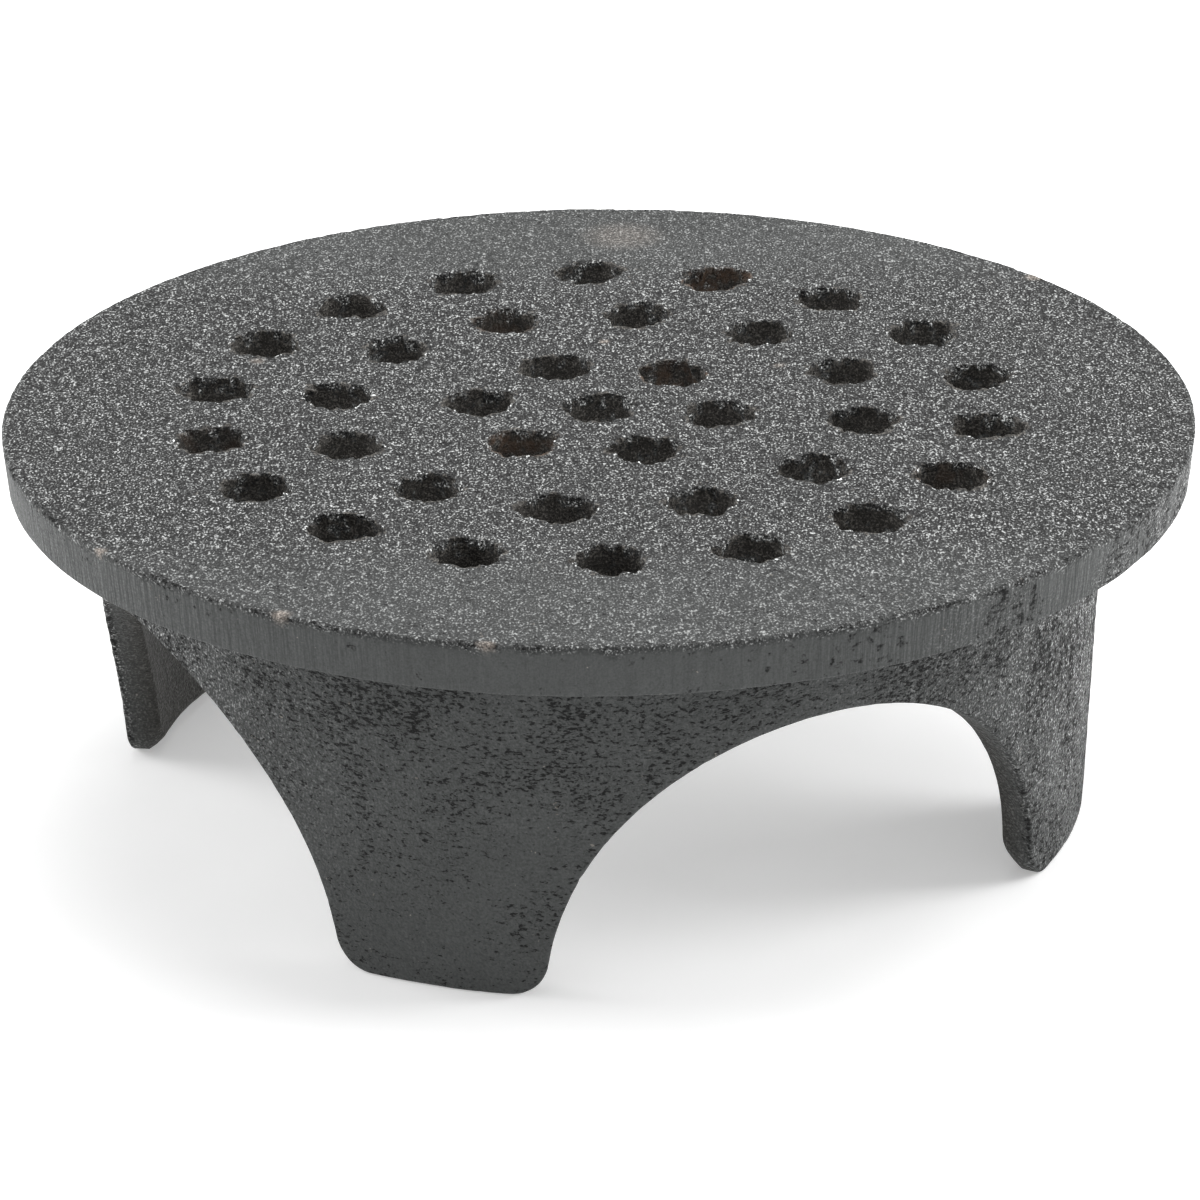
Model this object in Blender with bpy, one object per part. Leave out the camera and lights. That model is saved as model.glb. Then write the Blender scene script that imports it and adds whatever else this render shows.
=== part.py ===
"""Floor drain grate: a perforated cast-iron plate on a tapered skirt, arched so that it stands on four legs.

Units are metres and +Z is up. The feet stand on Z = 0 and the plate's centre is over the origin.
The arches face +X, +Y, -X and -Y, and the legs stand between them.
The real grate is one casting. Its features are kept here as six solids of one rigid body, parted by hairline gaps.
"""

import math

import bmesh
import bpy
from mathutils import Matrix

# Overall
HEIGHT = 0.0437
GAP = 0.0003

# Plate
PLATE_RADIUS = 0.0635
PLATE_UNDERSIDE_RADIUS = 0.0628
PLATE_THICKNESS = 0.00556
PLATE_EDGE_ROUND = 0.0005
PLATE_SEGMENTS = 144
EDGE_STEPS = 3

# Drain holes: one in the centre, then rings of 6, 12 and 18
HOLE_RADIUS_TOP = 0.00365
HOLE_DRAFT = 0.025
HOLE_OVERRUN = 0.001
HOLE_SEGMENTS = 28
HOLE_RINGS = ((1, 0.0), (6, 0.0129), (12, 0.0284), (18, 0.0417))
HOLE_PHASE = math.radians(25.0)

# Skirt and legs
SKIRT_FOOT_RADIUS = 0.05267
SKIRT_TAPER = 0.04
WALL = 0.0038
ARCHES = 4
ARCH_RADIUS = 0.0307
ARCH_CENTRE_Z = -0.001
ARCH_STEPS = 26
LEG_SPAN_STEPS = 10

# Where the skirt ends and the legs begin, and how the feet are finished
LEG_TOP_Z = 0.0168
LEG_SIDE_STEPS = 10
FOOT_CORNER_RADIUS = 0.0042
FOOT_CORNER_STEPS = 6
FOOT_BEVEL_HEIGHT = 0.0010
FOOT_FLAT_SHARE = 0.55

# Finish
IRON_COLOUR = (0.085, 0.09, 0.088, 1.0)
IRON_ROUGHNESS = 0.6
IRON_METALLIC = 0.55
SHARP_ANGLE = math.radians(30.0)

LEG_NAMES = ("leg_back_right", "leg_back_left", "leg_front_left", "leg_front_right")


def clear_scene():
    for obj in list(bpy.data.objects):
        bpy.data.objects.remove(obj, do_unlink=True)


def iron_material(name):
    material = bpy.data.materials.new(name)
    material.use_nodes = True
    shader = material.node_tree.nodes["Principled BSDF"]
    shader.inputs["Base Color"].default_value = IRON_COLOUR
    shader.inputs["Roughness"].default_value = IRON_ROUGHNESS
    shader.inputs["Metallic"].default_value = IRON_METALLIC
    return material


def add_object(name, bm, smooth=True):
    """Put a finished bmesh in the scene as a named object."""
    bmesh.ops.recalc_face_normals(bm, faces=bm.faces)
    mesh = bpy.data.meshes.new(name)
    bm.to_mesh(mesh)
    bm.free()
    if smooth:
        mesh.shade_smooth()
        mesh.set_sharp_from_angle(angle=SHARP_ANGLE)
    obj = bpy.data.objects.new(name, mesh)
    bpy.context.scene.collection.objects.link(obj)
    return obj


def polar(radius, angle, z):
    return (radius * math.cos(angle), radius * math.sin(angle), z)


def bridge(bm, first, second, closed=True):
    """Join two rows of vertices with quads."""
    count = len(first)
    for i in range(count if closed else count - 1):
        j = (i + 1) % count
        bm.faces.new((first[i], first[j], second[j], second[i]))


# --- Plate -------------------------------------------------------------------


def plate_profile():
    """Radius and height of the rim, from the top face round both edges to the underside."""
    top = HEIGHT
    bottom = HEIGHT - PLATE_THICKNESS
    points = []
    for step in range(EDGE_STEPS + 1):
        turn = 0.5 * math.pi * step / EDGE_STEPS
        radius = PLATE_RADIUS - PLATE_EDGE_ROUND * (1.0 - math.sin(turn))
        points.append((radius, top - PLATE_EDGE_ROUND * (1.0 - math.cos(turn))))
    for step in range(EDGE_STEPS + 1):
        turn = 0.5 * math.pi * step / EDGE_STEPS
        radius = PLATE_UNDERSIDE_RADIUS - PLATE_EDGE_ROUND * (1.0 - math.cos(turn))
        points.append((radius, bottom + PLATE_EDGE_ROUND * (1.0 - math.sin(turn))))
    return points


def plate_blank():
    bm = bmesh.new()
    rows = []
    for radius, z in plate_profile():
        angles = [2.0 * math.pi * i / PLATE_SEGMENTS for i in range(PLATE_SEGMENTS)]
        rows.append([bm.verts.new(polar(radius, angle, z)) for angle in angles])
    for upper, lower in zip(rows, rows[1:]):
        bridge(bm, upper, lower)
    bm.faces.new(rows[0])
    bm.faces.new(rows[-1])
    return bm


def hole_centres():
    for count, ring_radius in HOLE_RINGS:
        for i in range(count):
            angle = HOLE_PHASE + 2.0 * math.pi * i / count
            yield ring_radius * math.cos(angle), ring_radius * math.sin(angle)


def hole_cutter():
    """All the drain holes as tapered plugs, slightly wider at the underside."""
    length = PLATE_THICKNESS + 2.0 * HOLE_OVERRUN
    upper_radius = HOLE_RADIUS_TOP - HOLE_DRAFT * HOLE_OVERRUN
    lower_radius = upper_radius + HOLE_DRAFT * length
    middle_z = HEIGHT - 0.5 * PLATE_THICKNESS
    bm = bmesh.new()
    for x, y in hole_centres():
        bmesh.ops.create_cone(
            bm,
            cap_ends=True,
            segments=HOLE_SEGMENTS,
            radius1=lower_radius,
            radius2=upper_radius,
            depth=length,
            matrix=Matrix.Translation((x, y, middle_z)),
        )
    cutter = add_object("hole_cutter", bm, smooth=False)
    cutter.hide_render = True
    cutter.display_type = "WIRE"
    return cutter


def build_plate():
    plate = add_object("perforated_plate", plate_blank())
    cut = plate.modifiers.new("drain_holes", "BOOLEAN")
    cut.operation = "DIFFERENCE"
    cut.solver = "EXACT"
    cut.object = hole_cutter()
    return plate


# --- Skirt and legs ----------------------------------------------------------


def outer_radius(z):
    return SKIRT_FOOT_RADIUS + SKIRT_TAPER * z


def inner_radius(z):
    return outer_radius(z) - WALL


def arch_point(turn):
    """Angle from the arch's centre and height, for a turn round the arch's circle from its crown."""
    z = ARCH_CENTRE_Z + ARCH_RADIUS * math.cos(turn)
    return ARCH_RADIUS * math.sin(turn) / outer_radius(z), z


def arch_half_angle(z):
    rise = z - ARCH_CENTRE_Z
    return math.sqrt(ARCH_RADIUS**2 - rise**2) / outer_radius(z)


def skirt_edge():
    """Angle and height of the skirt's lower edge, once round."""
    edge = []
    end_turn = math.acos((LEG_TOP_Z + GAP - ARCH_CENTRE_Z) / ARCH_RADIUS)
    end_angle = arch_point(end_turn)[0]
    leg_span = 2.0 * math.pi / ARCHES - 2.0 * end_angle
    for arch in range(ARCHES):
        centre = 2.0 * math.pi * arch / ARCHES
        for i in range(ARCH_STEPS + 1):
            angle, z = arch_point(end_turn * (2.0 * i / ARCH_STEPS - 1.0))
            edge.append((centre + angle, z))
        for i in range(1, LEG_SPAN_STEPS):
            edge.append((centre + end_angle + leg_span * i / LEG_SPAN_STEPS, LEG_TOP_Z + GAP))
    return edge


def build_skirt():
    top = HEIGHT - PLATE_THICKNESS - GAP
    bm = bmesh.new()
    sections = []
    for angle, z in skirt_edge():
        corners = (
            polar(outer_radius(top), angle, top),
            polar(outer_radius(z), angle, z),
            polar(inner_radius(z), angle, z),
            polar(inner_radius(top), angle, top),
        )
        sections.append([bm.verts.new(corner) for corner in corners])
    for first, second in zip(sections, sections[1:] + sections[:1]):
        bridge(bm, first, second)
    return add_object("arched_skirt", bm)


def leg_rows():
    """Height and half angle of each row of a leg, from its top to the end of the foot's rounded corner."""
    corner_top = FOOT_CORNER_RADIUS
    leg_centre = math.pi / ARCHES
    rows = []
    for i in range(LEG_SIDE_STEPS):
        z = LEG_TOP_Z + (corner_top - LEG_TOP_Z) * i / LEG_SIDE_STEPS
        rows.append((z, leg_centre - arch_half_angle(z)))
    for i in range(FOOT_CORNER_STEPS + 1):
        turn = 0.5 * math.pi * i / FOOT_CORNER_STEPS
        z = FOOT_CORNER_RADIUS * (1.0 - math.sin(turn))
        inset = FOOT_CORNER_RADIUS * (1.0 - math.cos(turn)) / outer_radius(z)
        rows.append((z, leg_centre - arch_half_angle(z) - inset))
    return rows


def inner_height(z):
    """The inner face ends a little above the outer one, where the foot's inner edge is worn off."""
    return LEG_TOP_Z - (LEG_TOP_Z - z) * (1.0 - FOOT_BEVEL_HEIGHT / LEG_TOP_Z)


def arc_row(bm, radius, z, centre, half_angle):
    row = []
    for i in range(LEG_SPAN_STEPS + 1):
        angle = centre + half_angle * (2.0 * i / LEG_SPAN_STEPS - 1.0)
        row.append(bm.verts.new(polar(radius, angle, z)))
    return row


def close_foot(bm, outer, inner, centre, half_angle):
    """The sole: a flat band along the outer edge, and a bevel up to the inner edge."""
    middle_radius = outer_radius(0.0) - FOOT_FLAT_SHARE * WALL
    middle = arc_row(bm, middle_radius, 0.0, centre, half_angle)
    bridge(bm, outer, middle, closed=False)
    bridge(bm, middle, inner, closed=False)
    bm.faces.new((outer[0], middle[0], inner[0]))
    bm.faces.new((outer[-1], middle[-1], inner[-1]))


def build_leg(name, centre):
    bm = bmesh.new()
    outer = []
    inner = []
    rows = leg_rows()
    for z, half_angle in rows:
        inner_z = inner_height(z)
        outer.append(arc_row(bm, outer_radius(z), z, centre, half_angle))
        inner.append(arc_row(bm, inner_radius(inner_z), inner_z, centre, half_angle))
    for i in range(len(rows) - 1):
        bridge(bm, outer[i], outer[i + 1], closed=False)
        bridge(bm, inner[i], inner[i + 1], closed=False)
        bm.faces.new((outer[i][0], outer[i + 1][0], inner[i + 1][0], inner[i][0]))
        bm.faces.new((outer[i][-1], outer[i + 1][-1], inner[i + 1][-1], inner[i][-1]))
    bridge(bm, outer[0], inner[0], closed=False)
    close_foot(bm, outer[-1], inner[-1], centre, rows[-1][1])
    return add_object(name, bm)


def build():
    clear_scene()
    nodes = [build_plate(), build_skirt()]
    for i, name in enumerate(LEG_NAMES):
        centre = 2.0 * math.pi * (i + 0.5) / ARCHES
        nodes.append(build_leg(name, centre))
    for node in nodes:
        node.data.materials.append(iron_material(node.name + "_iron"))


build()
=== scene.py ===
"""Looks for the floor drain grate: one rough sand-cast iron casting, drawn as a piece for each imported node.

The casting is built as one continuous mesh, so that the plate, skirt and legs meet with no seam, and is then
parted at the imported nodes' borders. Lengths are in metres and angles in radians, unless a comment says otherwise.

In order: the plate with its holes and rim, the skirt and legs, the fillets and the underside, the rough skin, the
parting into pieces, the iron's material, and last the floor, the lights and the camera.
"""

import math

import bpy
import numpy as np
from mathutils import Matrix, Vector, noise
from mathutils.geometry import delaunay_2d_cdt
from mathutils.kdtree import KDTree


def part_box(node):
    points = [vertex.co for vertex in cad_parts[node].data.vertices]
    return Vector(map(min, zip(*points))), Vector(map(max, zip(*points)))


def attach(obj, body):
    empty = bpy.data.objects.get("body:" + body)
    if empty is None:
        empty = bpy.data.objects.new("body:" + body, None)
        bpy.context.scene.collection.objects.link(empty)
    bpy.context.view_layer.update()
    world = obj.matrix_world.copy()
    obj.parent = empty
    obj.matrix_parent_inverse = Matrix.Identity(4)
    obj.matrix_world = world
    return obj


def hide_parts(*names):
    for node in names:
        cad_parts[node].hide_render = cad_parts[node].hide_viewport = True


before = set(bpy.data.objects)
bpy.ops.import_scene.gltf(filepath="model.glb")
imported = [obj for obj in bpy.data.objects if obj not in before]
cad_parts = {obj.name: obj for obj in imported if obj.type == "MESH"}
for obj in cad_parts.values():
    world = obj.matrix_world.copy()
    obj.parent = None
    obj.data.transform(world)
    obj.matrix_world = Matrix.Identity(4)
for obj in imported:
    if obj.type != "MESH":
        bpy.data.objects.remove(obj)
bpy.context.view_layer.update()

MM = 0.001

# --- Shape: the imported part's, with its edges rounded and its arches a little closer ---
PLATE_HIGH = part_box("perforated_plate")[1]
HEIGHT = PLATE_HIGH[2]
PLATE_RADIUS = PLATE_HIGH[0]
PLATE_UNDERSIDE_RADIUS = PLATE_RADIUS - 0.45 * MM  # the rim's draft
PLATE_THICKNESS = 5.56 * MM
UNDERSIDE = HEIGHT - PLATE_THICKNESS
SKIRT_FOOT_RADIUS = 52.67 * MM
SKIRT_TAPER = 0.04
WALL = 3.8 * MM
ARCHES = 4
QUARTER = 2.0 * math.pi / ARCHES  # from one arch's crown to the next
ARCH_RADIUS = 30.1 * MM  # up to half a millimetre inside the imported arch, for its rough edge
ARCH_CENTRE_Z = -0.4 * MM
LEG_TOP_Z = 16.95 * MM  # where the skirt is parted from the legs
FOOT_CORNER_RADIUS = 3.6 * MM
FOOT_BEVEL = 1.8 * MM  # how far the sole is worn up at the wall's inner face
FOOT_FLAT_SHARE = 0.55  # of the wall, from its outer face, whose sole is flat
HOLE_RADIUS = 3.74 * MM  # before the burrs, which close it up a little
HOLE_DRAFT = 0.025  # how much wider a hole gets for each unit down
HOLE_RINGS = ((1, 0.0), (6, 12.9 * MM), (12, 28.4 * MM), (18, 41.7 * MM))  # (holes, distance from the centre)
HOLE_PHASE = math.radians(25.0)
GRAIN_TURN = math.radians(-26.4)  # from +X: the coarse sides face this way and away from it

# --- Casting finish -----------------------------------------------------------
SEED = 11
TOP_SKIN = 0.06 * MM  # how far the rough skin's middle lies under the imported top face
RIM_SKIN = 0.03 * MM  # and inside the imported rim
RIM_ROUND = 0.35 * MM
RIM_LOWER_ROUND = 0.3 * MM
EDGE_ROUND = 0.4 * MM
FILLET = 1.6 * MM
TOP_STEP = 0.56 * MM  # triangle sizes: top face, skirt outside and inside, and underside
SKIRT_STEP = 0.5 * MM
INNER_STEP = 0.85 * MM
UNDER_STEP = 1.3 * MM
HOLE_SEGMENTS = 72
EDGE_TURNS = 4  # steps round a rounded edge

rng = np.random.default_rng(SEED)


def outer_radius(z):
    """The skirt's outer radius at this height."""
    return SKIRT_FOOT_RADIUS + SKIRT_TAPER * z


def smooth_step(low, high, value):
    """0 below low, 1 above high, and an even rise between."""
    t = min(1.0, max(0.0, (value - low) / (high - low)))
    return t * t * (3.0 - 2.0 * t)


class Shell:
    """Vertices and triangles of the casting as they are gathered, with a patch name for each vertex."""

    def __init__(self):
        self.points = []
        self.patches = []
        self.faces = []

    def add(self, points, patch):
        """Adds vertices and returns their indices."""
        start = len(self.points)
        self.points.extend(points)
        self.patches.extend([patch] * len(points))
        return list(range(start, start + len(points)))

    def strip(self, first, second, closed=True):
        """Quads between two rows of the same length, facing out when first is above second, seen from outside."""
        count = len(first)
        for i in range(count if closed else count - 1):
            j = (i + 1) % count
            self.faces.append((first[i], second[i], second[j], first[j]))


shell = Shell()


# --- Plane patches by constrained Delaunay ------------------------------------
GRID_JITTER = 0.16  # of a step
CLEAR_OF_BORDER = 0.62  # of a step


def hex_points(low, high, step):
    """A jittered triangular grid inside a box."""
    rows = np.arange(low[1], high[1], step * math.sqrt(3.0) / 2.0)
    points = []
    for index, y in enumerate(rows):
        xs = np.arange(low[0] + (index % 2) * step / 2.0, high[0], step)
        points.append(np.stack([xs, np.full_like(xs, y)], axis=1))
    points = np.concatenate(points)
    return points + rng.uniform(-GRID_JITTER, GRID_JITTER, points.shape) * step


def far_from(points, border, distance):
    """True where a point is at least distance from every sample of the border."""
    tree = KDTree(len(border))
    for index, (x, y) in enumerate(border):
        tree.insert((x, y, 0.0), index)
    tree.balance()
    return np.array([tree.find((x, y, 0.0))[2] >= distance for x, y in points.tolist()], bool)


def inside(polygon, points):
    """Even-odd test of many points against a closed polygon."""
    x, y = points[:, 0], points[:, 1]
    odd = np.zeros(len(points), bool)
    for (x0, y0), (x1, y1) in zip(polygon, np.roll(polygon, -1, axis=0)):
        if y0 != y1:
            across = (y0 > y) != (y1 > y)
            odd ^= across & (x < x0 + (y - y0) * (x1 - x0) / (y1 - y0))
    return odd


def in_iron(outer, holes, points):
    """True where a point is inside the outer loop and in none of the holes."""
    good = inside(outer, points)
    for hole in holes:
        low, high = hole.min(0), hole.max(0)
        near = np.flatnonzero(((points > low) & (points < high)).all(1))
        good[near[inside(hole, points[near])]] = False
    return good


def fill(outer, holes, step, extra=()):
    """Triangles of a flat patch, inside outer, outside the holes and along the extra lines.

    Returns the loose points used, and the faces as indices into outer + holes + extra + loose.
    """
    outer = np.asarray(outer)
    holes = [np.asarray(h) for h in holes]
    extra = [np.asarray(e) for e in extra]
    border = np.concatenate([outer] + holes + extra)
    loose = hex_points(outer.min(0), outer.max(0), step)
    loose = loose[in_iron(outer, holes, loose)]
    loose = loose[far_from(loose, border, CLEAR_OF_BORDER * step)]
    points = [Vector(p) / MM for p in np.concatenate([border, loose]).tolist()]
    edges = []
    start = 0
    for loop in [outer] + holes:
        edges += [(start + i, start + (i + 1) % len(loop)) for i in range(len(loop))]
        start += len(loop)
    for line in extra:
        edges += [(start + i, start + i + 1) for i in range(len(line) - 1)]
        start += len(line)
    verts, _, faces, origin, _, _ = delaunay_2d_cdt(points, edges, [], 0, 1e-6, True)
    source = np.array([o[0] for o in origin])
    faces = np.array([tuple(f) for f in faces])
    centres = np.array([tuple(v) for v in verts])[faces].mean(1) * MM
    return loose, source[faces[in_iron(outer, holes, centres)]].tolist()


def place(faces, ids, flip):
    """Adds a patch's faces to the casting, turned over where flip is true."""
    for face in faces:
        named = tuple(ids[v] for v in face)
        shell.faces.append(named[::-1] if flip else named)


# --- Plate --------------------------------------------------------------------
RING_SAMPLES = 170  # along the skirt's top edge, for each quarter
AROUND = ARCHES * RING_SAMPLES


def ring(radius, z, patch, wobble=None):
    """A level circle of vertices, its radius changed by wobble(angles)."""
    angles = 2.0 * math.pi * np.arange(AROUND) / AROUND
    r = radius + (wobble(angles) if wobble else 0.0)
    r = np.broadcast_to(r, angles.shape)
    return shell.add(list(zip(r * np.cos(angles), r * np.sin(angles), np.full(AROUND, z))), patch)


def flat(ids):
    """The (x, y) of some vertices."""
    return [shell.points[i][:2] for i in ids]


HOLE_WAVES = (  # (waves round the hole, size in millimetres)
    (2, 0.22), (3, 0.17), (4, 0.10), (5, 0.07), (7, 0.06),
    (9, 0.06), (13, 0.07), (17, 0.07), (23, 0.07), (31, 0.06),
)
COARSE_WAVE = 5  # waves finer than this die out down the hole
HOLE_SPREAD = 0.03  # share by which the holes' sizes differ
BURRS = (7, 13)  # the fewest in a hole, and one more than the most
BURR_WIDTH = (0.05, 0.24)
BURR_SIZE = (-0.75, 0.42)  # millimetres out from the hole's centre


def dragged(angle):
    """1 on the side of a hole that the strike dragged sand over, 0 on the other side."""
    return smooth_step(-0.3, 0.7, math.cos(angle - GRAIN_TURN - 0.5 * math.pi))


def hole_outline(index, angles, coarse):
    """Radius of a drain hole against angle: egg-shaped, lumpy, and ragged where sand broke away."""
    local = np.random.default_rng(SEED * 101 + index)
    radius = HOLE_RADIUS * (1.0 + local.uniform(-HOLE_SPREAD, HOLE_SPREAD)) + np.zeros_like(angles)
    for wave, size in HOLE_WAVES:
        if coarse and wave > COARSE_WAVE:
            break
        phase = local.uniform(0, 2 * math.pi)
        radius += size * MM * local.uniform(0.3, 1.0) * np.cos(wave * angles + phase)
    if not coarse:
        for _ in range(local.integers(*BURRS)):
            at, width = local.uniform(0, 2 * math.pi), local.uniform(*BURR_WIDTH)
            turn = (angles - at + math.pi) % (2 * math.pi) - math.pi
            size = local.uniform(*BURR_SIZE) * (0.55 + 0.75 * dragged(at))
            radius += size * MM * np.exp(-((turn / width) ** 2))
    return radius


def hole_centres():
    """The (x, y) of each hole's centre, ring by ring."""
    for count, radius in HOLE_RINGS:
        for i in range(count):
            angle = HOLE_PHASE + 2.0 * math.pi * i / count
            yield radius * math.cos(angle), radius * math.sin(angle)


TOP_HOLE_ROUND = 0.2 * MM
LOW_HOLE_ROUND = 0.45 * MM
FINE_FADE = 2.2  # the raggedness is gone at one part in this of the way down a hole


def build_holes():
    """The walls of the drain holes. Returns each hole's rim on the top face and on the underside."""
    angles = 2.0 * math.pi * np.arange(HOLE_SEGMENTS) / HOLE_SEGMENTS
    tops, lows = [], []
    for index, (cx, cy) in enumerate(hole_centres()):
        fine = hole_outline(index, angles, False)
        smooth = hole_outline(index, angles, True)
        rows = []
        for step in range(4):
            turn = 0.5 * math.pi * step / 3
            rise = TOP_HOLE_ROUND * (1 - math.cos(turn))
            rows.append((fine + TOP_HOLE_ROUND * (1 - math.sin(turn)), HEIGHT - rise))
        wall_top, wall_low = HEIGHT - TOP_HOLE_ROUND, UNDERSIDE + LOW_HOLE_ROUND
        for share in (0.1, 0.25, 0.5, 0.75, 1.0):
            z = wall_top + (wall_low - wall_top) * share
            keep = max(0.0, 1.0 - FINE_FADE * share)
            rows.append((smooth + (fine - smooth) * keep + HOLE_DRAFT * (HEIGHT - z), z))
        last = rows[-1][0]
        for step in range(1, 4):
            turn = 0.5 * math.pi * step / 3
            flare = LOW_HOLE_ROUND * (1 - math.cos(turn))
            rows.append((last + flare, wall_low - LOW_HOLE_ROUND * math.sin(turn)))
        made = []
        for radius, z in rows:
            xs, ys = cx + radius * np.cos(angles), cy + radius * np.sin(angles)
            made.append(shell.add(list(zip(xs, ys, np.full(HOLE_SEGMENTS, z))), "hole"))
        for upper, lower in zip(made, made[1:]):
            shell.strip(lower, upper)
        tops.append(made[0])
        lows.append(made[-1])
    return tops, lows


hole_tops, hole_lows = build_holes()


RIM_WOBBLE = 0.08 * MM
RIM_LUMPS = 9.0  # how finely the rim wobbles round the plate


def rim_wobble(amount, seed):
    """How far the rim strays from a true circle, as a function of the angles."""
    def at(angles):
        c, s = np.cos(angles), np.sin(angles)
        return np.array(
            [amount * noise.noise(Vector((RIM_LUMPS * x, RIM_LUMPS * y, seed))) for x, y in zip(c, s)]
        )
    return at


def build_rim():
    """Rings from the top face, down the rim and in under the plate. Returns the first and last."""
    rows = []
    wall_top = HEIGHT - RIM_ROUND
    wall_low = UNDERSIDE + RIM_LOWER_ROUND
    for step in range(EDGE_TURNS + 1):
        turn = 0.5 * math.pi * step / EDGE_TURNS
        z = HEIGHT - RIM_ROUND * (1 - math.cos(turn))
        rows.append((PLATE_RADIUS - RIM_ROUND * (1 - math.sin(turn)), z, "rim"))
    for step in range(1, 9):
        share = step / 8.0
        radius = PLATE_RADIUS + (PLATE_UNDERSIDE_RADIUS - PLATE_RADIUS) * share
        rows.append((radius, wall_top + (wall_low - wall_top) * share, "rim"))
    for step in range(1, EDGE_TURNS + 1):
        turn = 0.5 * math.pi * step / EDGE_TURNS
        radius = PLATE_UNDERSIDE_RADIUS - RIM_LOWER_ROUND * (1 - math.cos(turn))
        rows.append((radius, wall_low - RIM_LOWER_ROUND * math.sin(turn), "rim"))
    inner = outer_radius(UNDERSIDE) + FILLET
    start = rows[-1][0]
    for step in range(1, 8):
        rows.append((start + (inner - start) * step / 7.0, UNDERSIDE, "under"))
    wobble = rim_wobble(RIM_WOBBLE, 3.0)
    made = [ring(r, z, patch, wobble) for r, z, patch in rows]
    for upper, lower in zip(made, made[1:]):
        shell.strip(upper, lower)
    return made[0], made[-1]


rim_top, under_outer = build_rim()


def build_top():
    """The plate's top face, between the rim and the holes."""
    loose, faces = fill(flat(rim_top), [flat(h) for h in hole_tops], TOP_STEP)
    ids = rim_top + [i for h in hole_tops for i in h]
    ids = ids + shell.add([(x, y, HEIGHT) for x, y in loose], "top")
    place(faces, ids, flip=False)


build_top()

# --- Skirt and legs -----------------------------------------------------------
SKIRT_TOP_Z = UNDERSIDE - FILLET
FLAT_RADIUS = 53.5 * MM  # the radius at which the skirt is unrolled for its triangles
ARCH_SAMPLES = 120  # along half an arch
CORNER_SAMPLES = 24  # round a foot's corner


def edge_curve():
    """The opening's edge over a quarter turn, from one arch's crown round a foot to the next crown: (angle, z)."""
    end_turn = math.acos((FOOT_CORNER_RADIUS - ARCH_CENTRE_Z) / ARCH_RADIUS)
    half = []
    for turn in np.linspace(0.0, end_turn, ARCH_SAMPLES):
        z = ARCH_CENTRE_Z + ARCH_RADIUS * math.cos(turn)
        half.append((ARCH_RADIUS * math.sin(turn) / outer_radius(z), z))
    for turn in np.linspace(0.0, 0.5 * math.pi, CORNER_SAMPLES)[1:]:
        z = FOOT_CORNER_RADIUS * (1.0 - math.sin(turn))
        arch = math.sqrt(ARCH_RADIUS**2 - (z - ARCH_CENTRE_Z) ** 2)
        half.append(((arch + FOOT_CORNER_RADIUS * (1.0 - math.cos(turn))) / outer_radius(z), z))
    other = [(QUARTER - angle, z) for angle, z in reversed(half)]
    curve = np.array(half + other)
    return np.stack([curve[:, 0] * FLAT_RADIUS, curve[:, 1]], axis=1)


def resample(curve, count):
    """The curve with this many points, evenly spaced along it."""
    lengths = np.concatenate([[0], np.cumsum(np.hypot(*np.diff(curve, axis=0).T))])
    at = np.linspace(0, lengths[-1], count)
    return np.stack([np.interp(at, lengths, column) for column in curve.T], axis=1)


EDGE_SAMPLES = 227  # along the opening's edge, for each quarter
SIDE_SAMPLES = 14  # up the line where two quarters meet
edge = resample(edge_curve(), EDGE_SAMPLES)
along = np.gradient(edge, axis=0)
along /= np.hypot(*along.T)[:, None]
out_of_iron = np.stack([along[:, 1], -along[:, 0]], axis=1)
out_of_iron[0] = out_of_iron[-1] = (0.0, -1.0)
if out_of_iron[EDGE_SAMPLES // 2, 1] > 0:
    out_of_iron = -out_of_iron
inset_edge = edge - EDGE_ROUND * out_of_iron
SIDE_LEAN = 0.45 * MM  # how much wider than a radial cut the openings are inside
SPLIT = int(np.argmin(abs(edge[: EDGE_SAMPLES // 2, 1] - LEG_TOP_Z)))
SPLIT_FAR = EDGE_SAMPLES - 1 - SPLIT
SPLIT_SAMPLES = 60


def bevel(z, depth):
    """How far the iron is worn up from the sole at this depth into the wall."""
    low = np.clip((LEG_TOP_Z - z) / LEG_TOP_Z, 0.0, 1.0)
    inner = np.clip((depth / WALL - FOOT_FLAT_SHARE) / (1.0 - FOOT_FLAT_SHARE), 0.0, 1.0)
    return FOOT_BEVEL * low * inner


def roll_up(points, depth, quarter):
    """Unrolled (arc, z) points put on the skirt, depth into its wall, in one quarter."""
    placed = []
    for arc, z in points:
        angle = arc / FLAT_RADIUS + quarter * QUARTER
        r = outer_radius(z) - depth
        placed.append((r * math.cos(angle), r * math.sin(angle), z + float(bevel(z, depth))))
    return placed


def opened(points, depth):
    """Edge points at this depth into the wall, moved along the arc by the sides' lean."""
    shift = SIDE_LEAN * depth / WALL * out_of_iron[: len(points), 0]
    return points - np.stack([shift, np.zeros(len(points))], axis=1)


def build_wall_edge():
    """Rows that wrap the openings' edge from the outer face to the inner. Each row goes once round all four legs."""
    rows = []
    turns = [0.5 * math.pi * step / EDGE_TURNS for step in range(EDGE_TURNS + 1)]
    for turn in turns:
        rows.append((EDGE_ROUND * (1 - math.sin(turn)), EDGE_ROUND * (1 - math.cos(turn))))
    for step in range(1, 4):
        rows.append((0.0, EDGE_ROUND + (WALL - 2 * EDGE_ROUND) * step / 4.0))
    for turn in turns:
        rows.append((EDGE_ROUND * (1 - math.cos(turn)), WALL - EDGE_ROUND * (1 - math.sin(turn))))
    made = []
    for inset, depth in rows:
        points = opened(edge[:-1] - inset * out_of_iron[:-1], depth)
        row = []
        for quarter in range(ARCHES):
            row += shell.add(roll_up(points, depth, quarter), "edge")
        made.append(row)
    return made


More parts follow.
